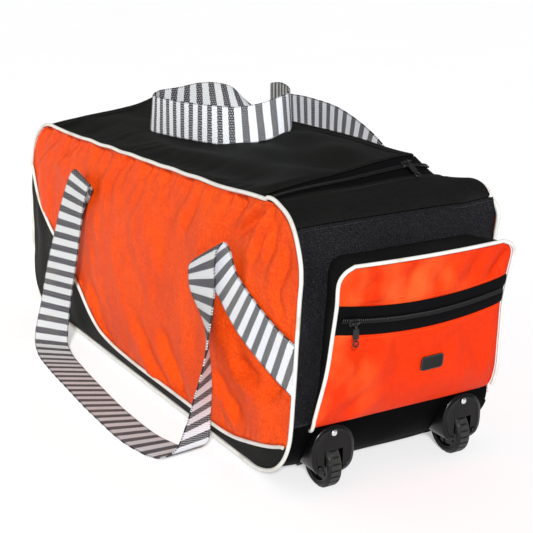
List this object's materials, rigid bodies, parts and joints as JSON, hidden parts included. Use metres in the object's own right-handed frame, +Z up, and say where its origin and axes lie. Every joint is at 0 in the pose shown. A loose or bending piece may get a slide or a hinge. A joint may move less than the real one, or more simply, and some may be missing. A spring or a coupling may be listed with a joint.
{
  "type": "wheeled kit bag",
  "caption": "Long soft kit bag on wheels: orange sides with white piping, black zipped lid, base and ends, an end pocket with a zip, and striped webbing handles with loose loops.",
  "frame": {"origin": "on the floor, on the flat face of the base, at the middle of the bag's length and width without the pocket", "axes": "+X from the tail towards the wheels and the end pocket, -Y towards the near long side whose handle hangs down, +Z up"},
  "size_m": [0.9949, 0.4543, 0.4366],
  "materials": {
    "orange_cloth": "woven polyester with a soft sheen",
    "black_cloth": "woven polyester, matt",
    "black_weave": "coarser woven polyester, matt",
    "white_piping": "smooth vinyl piping",
    "striped_webbing": "woven webbing with dark and white cross stripes",
    "zip_metal": "dark zip parts, slightly worn",
    "plain_patch": "plain moulded patch",
    "housing_plastic": "moulded plastic with a low gloss",
    "wheel_rubber": "treaded rubber",
    "steel": "bright steel"
  },
  "bodies": {
    "bag": {"base_panel": "black_weave", "far_accent_panel": "black_cloth", "far_accent_piping": "white_piping", "far_axle": "steel", "far_foot_rivet": "steel", "far_handle": "striped_webbing", "far_outline_piping": "white_piping", "far_side_panel": "orange_cloth", "far_top_rivet": "steel", "far_wheel_housing": "housing_plastic", "lid": "black_cloth", "main_zip_slider": "zip_metal", "main_zip_tape": "black_weave", "main_zip_teeth": "zip_metal", "near_accent_panel": "black_cloth", "near_accent_piping": "white_piping", "near_axle": "steel", "near_foot_rivet": "steel", "near_handle": "striped_webbing", "near_outline_piping": "white_piping", "near_side_panel": "orange_cloth", "near_top_rivet": "steel", "near_wheel_housing": "housing_plastic", "pocket_gusset": "black_cloth", "pocket_lower_front": "orange_cloth", "pocket_patch": "plain_patch", "pocket_piping": "white_piping", "pocket_upper_front": "orange_cloth", "pocket_zip_slider": "zip_metal", "pocket_zip_tape": "black_weave", "pocket_zip_teeth": "zip_metal", "tail_end_panel": "black_cloth", "top_border": "black_cloth", "wheel_band": "black_weave", "wheel_end_panel": "black_weave"},
    "near_wheel": {"near_wheel": "wheel_rubber"},
    "far_wheel": {"far_wheel": "wheel_rubber"},
    "main_zip_pull": {"main_zip_pull": "zip_metal"},
    "pocket_zip_pull": {"pocket_zip_pull": "zip_metal"}
  },
  "joints": [
    {"name": "near_wheel_spin", "type": "hinge", "parent": "bag", "child": "near_wheel", "pos_m": [0.44, -0.1, 0.033], "axis": [0, 1, 0], "continuous": true},
    {"name": "far_wheel_spin", "type": "hinge", "parent": "bag", "child": "far_wheel", "pos_m": [0.44, 0.1, 0.033], "axis": [0, 1, 0], "continuous": true},
    {"name": "main_pull_swing", "type": "hinge", "parent": "bag", "child": "main_zip_pull", "pos_m": [0.37988, 0.06237, 0.38762], "axis": [0.0009, -0.9996, -0.0288], "range_deg": [0, 190]},
    {"name": "pocket_pull_swing", "type": "hinge", "parent": "bag", "child": "pocket_zip_pull", "pos_m": [0.51772, -0.105, 0.23964], "axis": [0, -1, 0], "range_deg": [-20, 165]}
  ]
}
